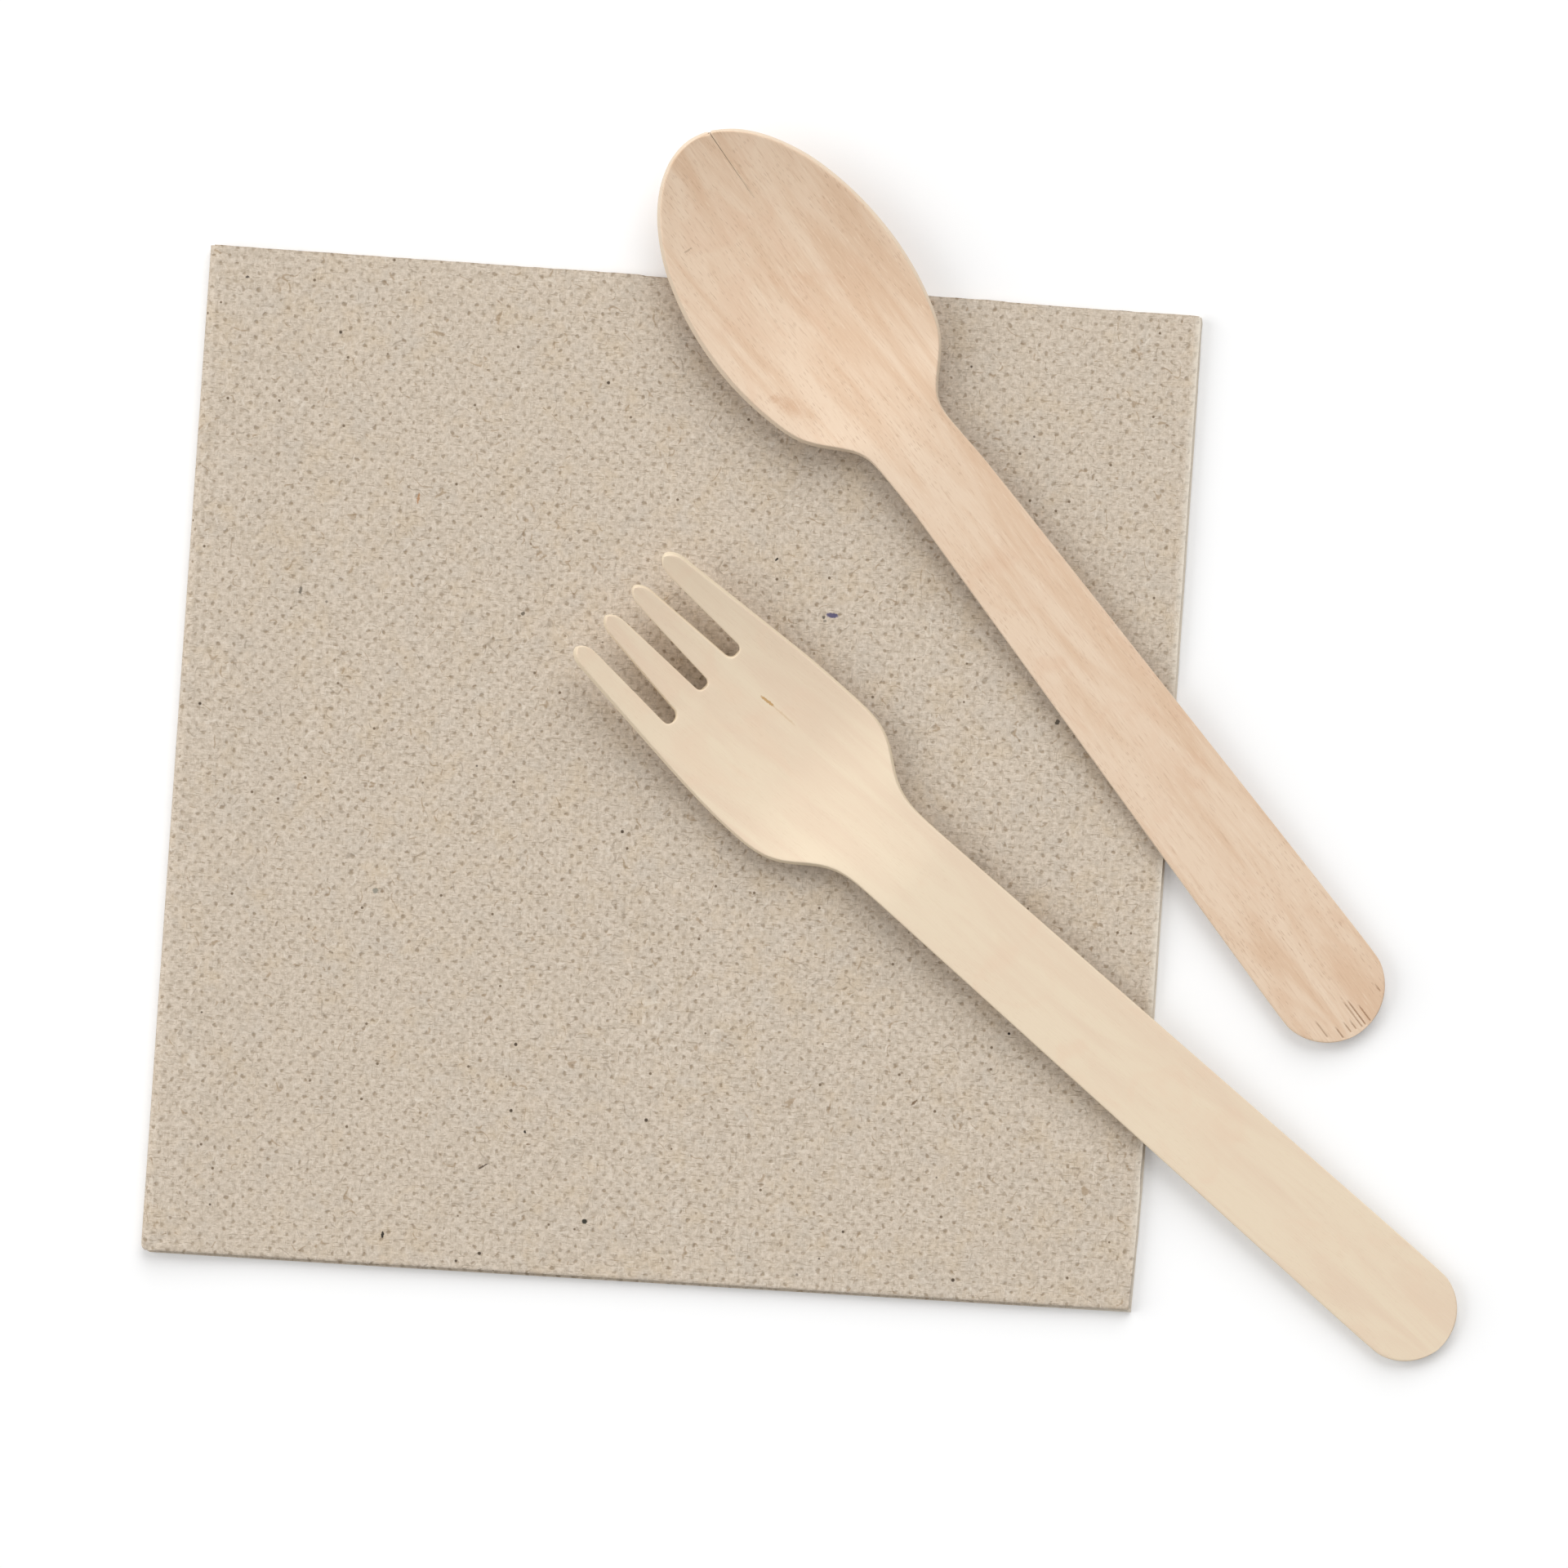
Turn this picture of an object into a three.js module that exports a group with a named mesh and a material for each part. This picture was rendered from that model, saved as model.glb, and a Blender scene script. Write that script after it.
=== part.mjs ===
// A wooden cutlery pack: a paper napkin folded in four, with a birch spoon and a birch fork on it.
// Millimetres, +Z up. The origin is the middle of the napkin's underside, on the table.
// +X runs to the napkin's right-hand cut edges and +Y to its far cut edges.
// Each utensil is drawn in its own frame: x is the station from the tip towards the handle's end,
// y runs across and z = 0 is the upper face of the flat handle.

import * as THREE from 'three';
import * as BufferGeometryUtils from 'three/addons/utils/BufferGeometryUtils.js';

// The napkin: one sheet, folded in half towards +Y and then in half again towards +X.
const NAPKIN_SHEET_WIDTH = 294.2;
const NAPKIN_SHEET_LENGTH = 296.7;
const PAPER_THICKNESS = 0.35;
const LEAF_GAP = 0.2;
const UNDER_LEAF_PROUD = 0.55;
const CUT_EDGE_STAGGER = 0.6;
const NAPKIN_CORNER_RADIUS = 1.2;
const FOLD_RISE = 0.6;
const FOLD_RISE_LENGTH = 18;

// The veneer that both utensils are cut from, and how they are laid down.
const VENEER_THICKNESS = 1.6;
const SEAT_CLEARANCE = 0.35;
const TABLE_CLEARANCE = 0.35;

// The spoon.
const SPOON_LENGTH = 164.2;
const BOWL_WIDTH = 31.5;
const BOWL_TIP_TO_WIDEST = 28.3;
const BOWL_SIDE_RADIUS = 48.6;
const BOWL_SHOULDER_RADIUS = 10.6;
const BOWL_FLANK_ANGLE = 45;
const SPOON_NECK_RADIUS = 5.8;
const SPOON_NECK_STATION = 54;
const SPOON_NECK_WIDTH = 12.7;
const SPOON_HANDLE_END_WIDTH = 17.2;
const BOWL_DEPTH = 3.8;
const BOWL_PRESS_END = 60;
const BOWL_OFF_LINE = 0.6;
const BOWL_OFF_LINE_FROM = 50;
const BOWL_OFF_LINE_TO = 66;
const BOWL_TIP_SHIFT = 0.4;
const SPOON_SPLIT_LENGTH = 12.6;
const SPOON_SPLIT_MOUTH = 0.22;
const SPOON_SPLIT_OFFSET = 3.4;
const SPOON_SPLIT_ANGLE = 1.2;
const SPOON_HEADING = -48.8;
const SPOON_SEAT_FROM_RIGHT = 58.85;
const SPOON_SEAT_FROM_TOP = 1.55;

// The fork.
const FORK_LENGTH = 163.6;
const HEAD_WIDTH = 26.5;
const HEAD_TIP_TO_WIDEST = 35.1;
const HEAD_FRONT_RADIUS = 131;
const HEAD_FRONT_TAPER = 5.3;
const HEAD_SIDE_RADIUS = 60;
const HEAD_SHOULDER_RADIUS = 10.4;
const HEAD_FLANK_ANGLE = 45;
const FORK_NECK_RADIUS = 11;
const FORK_NECK_STATION = 53;
const FORK_NECK_WIDTH = 13.6;
const FORK_HANDLE_END_WIDTH = 15.6;
const SLOT_LENGTH = 17.8;
const MIDDLE_SLOT_ROOT_WIDTH = 2.05;
const OUTER_SLOT_ROOT_WIDTH = 2.4;
const SLOT_FLARE = 0.032;
const SLOT_PITCH_AT_TIP = 5.95;
const SLOT_SPREAD = 0.0425;
const SLOTS_OFF_CENTRE = 0.1;
const SLOTS_DRIFT = 0.0285;
const TINE_TIP_ROUNDING = 2.4;
const HEAD_DEPTH = 4;
const HEAD_LOWEST_STATION = 34;
const HEAD_PRESS_END = 62;
const TINE_RISE = 3.7;
const HEAD_DISH = 1.6;
const HEAD_OFF_LINE_ANGLE = 1.8;
const HEAD_OFF_LINE_FROM = 26;
const HEAD_OFF_LINE_TO = 46;
const FORK_HEADING = -37.65;
const FORK_SEAT_FROM_RIGHT = 56.65;
const FORK_SEAT_FROM_TOP = 69.85;

// How finely the curved stretches are divided, and how near two points count as one.
const ROUND_STEPS = 7;
const BOWL_TIP_STEPS = 12;
const COLUMNS_PER_TINE = 4;
const COLUMNS_BESIDE_SPLIT = 9;
const STATION_STEP = 3;
const LEAST_STATION_STEP = 0.02;
const SAME_POINT = 1e-4;

const { degToRad, smoothstep, clamp } = THREE.MathUtils;

// How far a circular arc of radius r has fallen from its crown at the distance x.
function arcDrop(r, x) {
  const reach = clamp(Math.abs(x), 0, r);
  return r - Math.sqrt(r * r - reach * reach);
}

// A closed solid through a row of like sections, with its two ends filled in.
// The sections are rings of as many points each, all turning the same way.
function loft(rings, endFaces) {
  const count = rings[0].length;
  const positions = rings.flat().flatMap((point) => point.toArray());
  const index = [];
  for (let row = 0; row < rings.length - 1; row += 1) {
    for (let i = 0; i < count; i += 1) {
      const next = (i + 1) % count;
      const a = row * count + i;
      const b = row * count + next;
      const c = a + count;
      const d = b + count;
      index.push(a, c, b, b, c, d);
    }
  }
  const lastRing = (rings.length - 1) * count;
  for (const [i, j, k] of endFaces) {
    index.push(i, j, k);
    index.push(lastRing + i, lastRing + k, lastRing + j);
  }
  const geometry = new THREE.BufferGeometry();
  geometry.setAttribute('position', new THREE.Float32BufferAttribute(positions, 3));
  geometry.setIndex(index);
  geometry.computeVertexNormals();
  return geometry;
}

// The napkin in its folded state.
// The first fold makes a pair of leaves, drawn here as a hairpin in a plane across the sheet.
// The second fold is a larger hairpin along X, and the pair is carried along it.
const napkinWidth = NAPKIN_SHEET_WIDTH / 2;
const napkinLength = NAPKIN_SHEET_LENGTH / 2;
const leafPair = 2 * PAPER_THICKNESS + LEAF_GAP;
const napkinTop = 2 * leafPair + LEAF_GAP;

function leafPairSection() {
  const outer = leafPair / 2;
  const inner = LEAF_GAP / 2;
  const farEdge = napkinLength / 2;
  const foldCentre = -farEdge + outer;
  const section = new THREE.Shape();
  section.moveTo(farEdge, outer);
  section.lineTo(foldCentre, outer);
  section.absarc(foldCentre, 0, outer, Math.PI / 2, (3 * Math.PI) / 2, false);
  section.lineTo(farEdge - CUT_EDGE_STAGGER, -outer);
  section.lineTo(farEdge - CUT_EDGE_STAGGER, -inner);
  section.lineTo(foldCentre, -inner);
  section.absarc(foldCentre, 0, inner, (3 * Math.PI) / 2, Math.PI / 2, true);
  section.lineTo(farEdge, inner);
  section.closePath();
  return section;
}

function secondFoldPath() {
  const rightEdge = napkinWidth / 2;
  const lowerHeight = leafPair / 2;
  const upperHeight = napkinTop - leafPair / 2;
  const bendRadius = (upperHeight + FOLD_RISE - lowerHeight) / 2;
  const bendCentre = -rightEdge + bendRadius + leafPair / 2;
  const riseEnd = bendCentre + FOLD_RISE_LENGTH;
  const path = new THREE.Path();
  path.moveTo(rightEdge, lowerHeight);
  path.lineTo(riseEnd, lowerHeight);
  path.lineTo(bendCentre, lowerHeight);
  path.absarc(bendCentre, lowerHeight + bendRadius, bendRadius, -Math.PI / 2, Math.PI / 2, true);
  path.bezierCurveTo(
    bendCentre + FOLD_RISE_LENGTH / 3, upperHeight + FOLD_RISE,
    riseEnd - FOLD_RISE_LENGTH / 3, upperHeight,
    riseEnd, upperHeight,
  );
  path.lineTo(rightEdge - UNDER_LEAF_PROUD, upperHeight);
  return path;
}

function withoutRepeats(points) {
  return points.filter((point, i) => i === 0 || point.distanceTo(points[i - 1]) > SAME_POINT);
}

function napkinGeometry() {
  const section = withoutRepeats(leafPairSection().getPoints(ROUND_STEPS));
  if (section[0].distanceTo(section[section.length - 1]) < SAME_POINT) {
    section.pop();
  }
  const path = withoutRepeats(secondFoldPath().getPoints(ROUND_STEPS));
  const foldX = Math.min(...path.map((point) => point.x));
  const foldTurn = path.findIndex((point) => point.x === foldX);
  const rings = path.map((point, row) => {
    const before = path[Math.max(row - 1, 0)];
    const after = path[Math.min(row + 1, path.length - 1)];
    const along = new THREE.Vector2().subVectors(after, before).normalize();
    const outward = new THREE.Vector2(-along.y, along.x);
    const fromFold = point.x - foldX;
    const insideCorner = Math.max(0, NAPKIN_CORNER_RADIUS - fromFold);
    const cornerDraw = arcDrop(NAPKIN_CORNER_RADIUS, insideCorner);
    const upperDraw = row > foldTurn ? UNDER_LEAF_PROUD : 0;
    const draw = Math.max(cornerDraw, upperDraw);
    return section.map(({ x: y, y: offset }) => new THREE.Vector3(
      point.x - outward.x * offset,
      y < 0 ? y + draw : y,
      point.y - outward.y * offset,
    ));
  });
  const endFaces = THREE.ShapeUtils.triangulateShape(section, []);
  return loft(rings, endFaces);
}

// The die-cut side of a utensil behind its widest point: a long arc, a round shoulder,
// a straight flank, the neck's fillet, the tapering handle and its round end.
// It gives the half-width at any station from the widest point on.
function rearSide(size) {
  const flank = degToRad(size.flankAngle);
  const sin = Math.sin(flank);
  const cos = Math.cos(flank);
  const down = new THREE.Vector2(cos, -sin);
  const inward = new THREE.Vector2(-sin, -cos);
  const neck = new THREE.Vector2(size.neckStation, size.neckWidth / 2);
  const flankEnd = new THREE.Vector2(
    neck.x - size.neckRadius * sin,
    neck.y + size.neckRadius * (1 - cos),
  );
  const sideCentre = new THREE.Vector2(size.widestStation, size.width / 2 - size.sideRadius);
  const reach = size.sideRadius - size.shoulderRadius;
  const offset = flankEnd.clone().addScaledVector(inward, size.shoulderRadius).sub(sideCentre);
  const alongFlank = offset.dot(down);
  const back = alongFlank + Math.sqrt(alongFlank ** 2 - offset.lengthSq() + reach ** 2);
  const shoulderCentre = offset.clone().addScaledVector(down, -back).add(sideCentre);
  const shoulderStart = sideCentre.x
    + ((shoulderCentre.x - sideCentre.x) * size.sideRadius) / reach;
  const flankStart = shoulderCentre.x + size.shoulderRadius * sin;
  const endRadius = size.endWidth / 2;
  const endCentre = size.length - endRadius;
  const handleTaper = (endRadius - neck.y) / (endCentre - neck.x);
  return {
    stations: [size.widestStation, shoulderStart, flankStart, flankEnd.x, neck.x, endCentre],
    halfWidth(station) {
      if (station < shoulderStart) {
        return size.width / 2 - arcDrop(size.sideRadius, station - size.widestStation);
      }
      if (station < flankStart) {
        return shoulderCentre.y + size.shoulderRadius
          - arcDrop(size.shoulderRadius, station - shoulderCentre.x);
      }
      if (station < flankEnd.x) {
        return flankEnd.y + (flankEnd.x - station) * Math.tan(flank);
      }
      if (station < neck.x) {
        return neck.y + arcDrop(size.neckRadius, neck.x - station);
      }
      if (station < endCentre) {
        return neck.y + (station - neck.x) * handleTaper;
      }
      return endRadius - arcDrop(endRadius, station - endCentre);
    },
  };
}

// Stations that divide a stretch evenly, at most STATION_STEP apart.
function evenStations(from, to) {
  const steps = Math.max(1, Math.ceil((to - from) / STATION_STEP));
  return Array.from({ length: steps + 1 }, (unused, i) => from + ((to - from) * i) / steps);
}

// Stations that crowd towards a round end, so that its outline turns by even angles.
function roundEndStations(end, crown, steps = ROUND_STEPS) {
  return Array.from({ length: steps + 1 }, (unused, i) => {
    const turn = (Math.PI / 2) * (i / steps);
    return end + (crown - end) * (1 - Math.cos(turn));
  });
}

function sortedStations(stations) {
  const sorted = [...stations].sort((a, b) => a - b);
  return sorted.filter((station, i) => i === 0 || station - sorted[i - 1] > LEAST_STATION_STEP);
}

// The upper face of a utensil: strips side by side, each a ladder of quads from row to row.
// stripsAt gives the two sides of each strip at a station, and press puts a flat point in place.
function pressedFace(stations, stripsAt, columns, press) {
  const positions = [];
  const index = [];
  const rows = stations.map((station) => stripsAt(station));
  const strips = rows[0].length;
  rows.forEach((sides, row) => {
    for (const [low, high] of sides) {
      for (let column = 0; column <= columns; column += 1) {
        const across = low + ((high - low) * column) / columns;
        positions.push(...press(stations[row], across).toArray());
      }
    }
  });
  const rowLength = strips * (columns + 1);
  for (let row = 0; row < rows.length - 1; row += 1) {
    for (let strip = 0; strip < strips; strip += 1) {
      for (let column = 0; column < columns; column += 1) {
        const a = row * rowLength + strip * (columns + 1) + column;
        const b = a + rowLength;
        index.push(a, b, b + 1, a, b + 1, a + 1);
      }
    }
  }
  const loose = new THREE.BufferGeometry();
  loose.setAttribute('position', new THREE.Float32BufferAttribute(positions, 3));
  loose.setIndex(index);
  const face = BufferGeometryUtils.mergeVertices(loose, SAME_POINT);
  const kept = [];
  const merged = face.getIndex().array;
  for (let i = 0; i < merged.length; i += 3) {
    const [a, b, c] = merged.slice(i, i + 3);
    if (a !== b && b !== c && c !== a) {
      kept.push(a, b, c);
    }
  }
  face.setIndex(kept);
  face.computeVertexNormals();
  return face;
}

// A veneer of one thickness under that face, with its cut edge square to the veneer everywhere.
function veneerGeometry(face) {
  const upper = face.getAttribute('position');
  const normals = face.getAttribute('normal');
  const count = upper.count;
  const positions = Array.from(upper.array);
  const point = new THREE.Vector3();
  const normal = new THREE.Vector3();
  for (let i = 0; i < count; i += 1) {
    point.fromBufferAttribute(upper, i);
    normal.fromBufferAttribute(normals, i);
    positions.push(...point.addScaledVector(normal, -VENEER_THICKNESS).toArray());
  }
  const faceIndex = Array.from(face.getIndex().array);
  const index = [...faceIndex];
  const directed = new Set();
  for (let i = 0; i < faceIndex.length; i += 3) {
    const [a, b, c] = faceIndex.slice(i, i + 3);
    index.push(a + count, c + count, b + count);
    directed.add(`${a},${b}`).add(`${b},${c}`).add(`${c},${a}`);
  }
  for (const edge of directed) {
    const [a, b] = edge.split(',').map(Number);
    if (!directed.has(`${b},${a}`)) {
      index.push(b, a, a + count, b, a + count, b + count);
    }
  }
  const geometry = new THREE.BufferGeometry();
  geometry.setAttribute('position', new THREE.Float32BufferAttribute(positions, 3));
  geometry.setIndex(index);
  return geometry;
}

// The spoon: its bowl is an oval dish with a level rim, which runs out in the neck.
// The bowl lies a little to one side of the handle's line, and its tip turns back towards it.
const spoonSide = rearSide({
  length: SPOON_LENGTH,
  width: BOWL_WIDTH,
  widestStation: BOWL_TIP_TO_WIDEST,
  sideRadius: BOWL_SIDE_RADIUS,
  shoulderRadius: BOWL_SHOULDER_RADIUS,
  flankAngle: BOWL_FLANK_ANGLE,
  neckRadius: SPOON_NECK_RADIUS,
  neckStation: SPOON_NECK_STATION,
  neckWidth: SPOON_NECK_WIDTH,
  endWidth: SPOON_HANDLE_END_WIDTH,
});

function spoonHalfWidth(station) {
  if (station < BOWL_TIP_TO_WIDEST) {
    const ahead = (BOWL_TIP_TO_WIDEST - station) / BOWL_TIP_TO_WIDEST;
    return (BOWL_WIDTH / 2) * Math.sqrt(Math.max(0, 1 - ahead * ahead));
  }
  return spoonSide.halfWidth(station);
}

function pressSpoon(station, across) {
  const ahead = (BOWL_TIP_TO_WIDEST - station) / BOWL_TIP_TO_WIDEST;
  const lengthwise = ahead > 0
    ? 1 - ahead * ahead
    : 1 - smoothstep(station, BOWL_TIP_TO_WIDEST, BOWL_PRESS_END);
  const halfWidth = spoonHalfWidth(station);
  const crosswise = halfWidth > 0 ? 1 - (across / halfWidth) ** 2 : 0;
  const offLine = BOWL_OFF_LINE * (1 - smoothstep(station, BOWL_OFF_LINE_FROM, BOWL_OFF_LINE_TO));
  const tipShift = BOWL_TIP_SHIFT * Math.max(0, ahead) ** 2;
  return new THREE.Vector3(
    station,
    across - offLine + tipShift,
    -BOWL_DEPTH * lengthwise * crosswise,
  );
}

// The drying split in the spoon's tip runs along the grain and closes to nothing,
// so the bowl is two strips side by side that are one veneer behind the split.
const splitMouth = BOWL_TIP_TO_WIDEST
  * (1 - Math.sqrt(1 - (SPOON_SPLIT_OFFSET / (BOWL_WIDTH / 2)) ** 2));

function bowlStripsAt(station) {
  const half = spoonHalfWidth(station);
  const alongSplit = Math.min(station, SPOON_SPLIT_LENGTH);
  const share = station > alongSplit ? half / spoonHalfWidth(alongSplit) : 1;
  const line = (SPOON_SPLIT_OFFSET - Math.tan(degToRad(SPOON_SPLIT_ANGLE)) * alongSplit) * share;
  const opening = (SPOON_SPLIT_MOUTH / 2) * (1 - alongSplit / SPOON_SPLIT_LENGTH);
  return [
    [-half, Math.min(line - opening, half)],
    [Math.min(line + opening, half), half],
  ];
}

function spoonGeometry() {
  const [, shoulderStart, flankStart, flankEnd, neck, endCentre] = spoonSide.stations;
  const stations = sortedStations([
    ...roundEndStations(0, BOWL_TIP_TO_WIDEST, BOWL_TIP_STEPS),
    splitMouth,
    SPOON_SPLIT_LENGTH,
    ...evenStations(BOWL_TIP_TO_WIDEST, shoulderStart),
    ...evenStations(shoulderStart, flankStart),
    ...evenStations(flankStart, flankEnd),
    ...evenStations(flankEnd, neck),
    ...evenStations(neck, BOWL_OFF_LINE_TO),
    ...roundEndStations(SPOON_LENGTH, endCentre),
  ]);
  return veneerGeometry(pressedFace(stations, bowlStripsAt, COLUMNS_BESIDE_SPLIT, pressSpoon));
}

// The fork: four tapering tines, cut apart by three slots that open towards the tips.
// The slots were cut slightly askew, so the tines are not all of one width.
const forkSide = rearSide({
  length: FORK_LENGTH,
  width: HEAD_WIDTH,
  widestStation: HEAD_TIP_TO_WIDEST,
  sideRadius: HEAD_SIDE_RADIUS,
  shoulderRadius: HEAD_SHOULDER_RADIUS,
  flankAngle: HEAD_FLANK_ANGLE,
  neckRadius: FORK_NECK_RADIUS,
  neckStation: FORK_NECK_STATION,
  neckWidth: FORK_NECK_WIDTH,
  endWidth: FORK_HANDLE_END_WIDTH,
});

function forkHalfWidth(station) {
  if (station >= HEAD_TIP_TO_WIDEST) {
    return forkSide.halfWidth(station);
  }
  const taper = degToRad(HEAD_FRONT_TAPER);
  const arcLength = HEAD_FRONT_RADIUS * Math.sin(taper);
  const ahead = HEAD_TIP_TO_WIDEST - station;
  const onArc = Math.min(ahead, arcLength);
  const onLine = ahead - onArc;
  return HEAD_WIDTH / 2 - arcDrop(HEAD_FRONT_RADIUS, onArc) - onLine * Math.tan(taper);
}

// Half the width of a slot at a station: it narrows to its root, which is a half circle.
function slotHalfWidth(rootWidth, station) {
  const radius = rootWidth / 2;
  const rootCentre = SLOT_LENGTH - radius;
  if (station <= rootCentre) {
    return radius + SLOT_FLARE * (rootCentre - station);
  }
  return radius - arcDrop(radius, station - rootCentre);
}

function tinesAt(station) {
  const outside = forkHalfWidth(station);
  const middle = slotHalfWidth(MIDDLE_SLOT_ROOT_WIDTH, station);
  const outer = slotHalfWidth(OUTER_SLOT_ROOT_WIDTH, station);
  const alongSlot = Math.min(station, SLOT_LENGTH);
  const share = outside / forkHalfWidth(alongSlot);
  const pitch = (SLOT_PITCH_AT_TIP + SLOT_SPREAD * alongSlot) * share;
  const line = -(SLOTS_OFF_CENTRE + SLOTS_DRIFT * alongSlot) * share;
  const tipRound = Math.sqrt(1 - clamp(1 - station / TINE_TIP_ROUNDING, 0, 1) ** 2);
  const sides = [
    [-outside, line - pitch - outer],
    [line - pitch + outer, line - middle],
    [line + middle, line + pitch - outer],
    [line + pitch + outer, outside],
  ];
  return sides.map(([low, high]) => {
    const centre = (low + high) / 2;
    const half = ((high - low) / 2) * tipRound;
    return [centre - half, centre + half];
  });
}

function pressFork(station, across) {
  const ahead = Math.max(0, HEAD_LOWEST_STATION - station) / HEAD_LOWEST_STATION;
  const lengthwise = -HEAD_DEPTH * (1 - smoothstep(station, HEAD_LOWEST_STATION, HEAD_PRESS_END))
    + TINE_RISE * ahead ** 2;
  const halfWidth = forkHalfWidth(station);
  const dish = HEAD_DISH * (1 - smoothstep(station, HEAD_LOWEST_STATION, HEAD_PRESS_END));
  const crosswise = halfWidth > 0 ? dish * (across / halfWidth) ** 2 : 0;
  const turn = degToRad(HEAD_OFF_LINE_ANGLE)
    * (1 - smoothstep(station, HEAD_OFF_LINE_FROM, HEAD_OFF_LINE_TO));
  const fromTurn = station - HEAD_LOWEST_STATION;
  const turning = Math.min(fromTurn, 0);
  return new THREE.Vector3(
    station + across * Math.sin(turn) - turning * (1 - Math.cos(turn)),
    across * Math.cos(turn) - turning * Math.sin(turn),
    lengthwise + crosswise,
  );
}

function forkGeometry() {
  const [, shoulderStart, flankStart, flankEnd, neck, endCentre] = forkSide.stations;
  const outerRoot = SLOT_LENGTH - OUTER_SLOT_ROOT_WIDTH / 2;
  const stations = sortedStations([
    ...roundEndStations(0, TINE_TIP_ROUNDING),
    ...evenStations(TINE_TIP_ROUNDING, outerRoot),
    ...roundEndStations(SLOT_LENGTH, outerRoot),
    ...evenStations(SLOT_LENGTH, HEAD_TIP_TO_WIDEST),
    ...evenStations(HEAD_TIP_TO_WIDEST, shoulderStart),
    ...evenStations(shoulderStart, flankStart),
    ...evenStations(flankStart, flankEnd),
    ...evenStations(flankEnd, neck),
    ...evenStations(neck, HEAD_PRESS_END),
    ...roundEndStations(FORK_LENGTH, endCentre),
  ]);
  return veneerGeometry(pressedFace(stations, tinesAt, COLUMNS_PER_TINE, pressFork));
}

// How far a utensil leans towards its handle's end. Its pressed head stands on the napkin,
// and the handle comes down until it meets the napkin's right-hand edge or the table.
function restingTilt({ length, seatStation, depth, heading, seatFromRight, halfWidthAtEdge }) {
  const turn = degToRad(heading);
  const edge = (seatFromRight + halfWidthAtEdge * Math.abs(Math.sin(turn))) / Math.cos(turn);
  const tiltToNapkin = Math.atan2(depth, edge);
  const reach = length - seatStation;
  const drop = TABLE_CLEARANCE - (napkinTop + SEAT_CLEARANCE);
  const tiltToTable = Math.acos(drop / Math.hypot(depth, reach)) - Math.atan2(reach, depth);
  return Math.min(tiltToNapkin, tiltToTable);
}

// Lays a utensil down: the lowest point of its head is set over the napkin by its distances
// from the far cut edges and the right-hand cut edges, and the rest follows.
function layDown(mesh, place) {
  const tilting = new THREE.Group();
  tilting.rotation.y = restingTilt(place);
  mesh.position.set(-place.seatStation, 0, place.depth + VENEER_THICKNESS);
  tilting.add(mesh);
  const lying = new THREE.Group();
  lying.position.set(
    napkinWidth / 2 - place.seatFromRight,
    napkinLength / 2 - place.seatFromTop,
    napkinTop + SEAT_CLEARANCE,
  );
  lying.rotation.z = degToRad(place.heading);
  lying.add(tilting);
  return lying;
}

function named(name, geometry, material) {
  const mesh = new THREE.Mesh(geometry, material);
  mesh.name = name;
  return mesh;
}

const recycledPaper = new THREE.MeshStandardMaterial({ color: 0xc8baa8, roughness: 0.95, metalness: 0 });
const pinkBirch = new THREE.MeshStandardMaterial({ color: 0xe2c8ae, roughness: 0.7, metalness: 0 });
const paleBirch = new THREE.MeshStandardMaterial({ color: 0xe8d5ba, roughness: 0.65, metalness: 0 });

const pack = new THREE.Group();
pack.add(named('napkin', napkinGeometry(), recycledPaper));
pack.add(layDown(named('spoon', spoonGeometry(), pinkBirch), {
  length: SPOON_LENGTH,
  seatStation: BOWL_TIP_TO_WIDEST,
  depth: BOWL_DEPTH,
  heading: SPOON_HEADING,
  seatFromRight: SPOON_SEAT_FROM_RIGHT,
  seatFromTop: SPOON_SEAT_FROM_TOP,
  halfWidthAtEdge: SPOON_HANDLE_END_WIDTH / 2,
}));
pack.add(layDown(named('fork', forkGeometry(), paleBirch), {
  length: FORK_LENGTH,
  seatStation: HEAD_LOWEST_STATION,
  depth: HEAD_DEPTH,
  heading: FORK_HEADING,
  seatFromRight: FORK_SEAT_FROM_RIGHT,
  seatFromTop: FORK_SEAT_FROM_TOP,
  halfWidthAtEdge: FORK_HANDLE_END_WIDTH / 2,
}));

export default pack;
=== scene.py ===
import math

import bmesh
import bpy
import numpy as np
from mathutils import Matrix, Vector, noise


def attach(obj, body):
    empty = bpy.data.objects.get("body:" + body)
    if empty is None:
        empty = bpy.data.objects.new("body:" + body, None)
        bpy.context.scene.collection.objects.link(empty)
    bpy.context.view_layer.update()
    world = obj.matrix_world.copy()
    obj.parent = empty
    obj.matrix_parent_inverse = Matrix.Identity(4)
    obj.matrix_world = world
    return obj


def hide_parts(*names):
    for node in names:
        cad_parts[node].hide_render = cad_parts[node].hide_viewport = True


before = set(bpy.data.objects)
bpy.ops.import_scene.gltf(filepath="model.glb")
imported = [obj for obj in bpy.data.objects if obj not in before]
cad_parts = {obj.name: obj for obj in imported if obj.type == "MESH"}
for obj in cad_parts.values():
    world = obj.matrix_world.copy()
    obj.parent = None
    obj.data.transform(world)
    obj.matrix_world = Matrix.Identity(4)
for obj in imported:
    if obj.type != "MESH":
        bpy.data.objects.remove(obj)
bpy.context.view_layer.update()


# The studio: a white table that keeps the soft shadow of the pack, a wide lamp beyond its far side,
# a weaker one to its left, and an even sky. The camera looks straight down from far off,
# and is turned a little, so the napkin lies askew in the picture.

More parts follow.
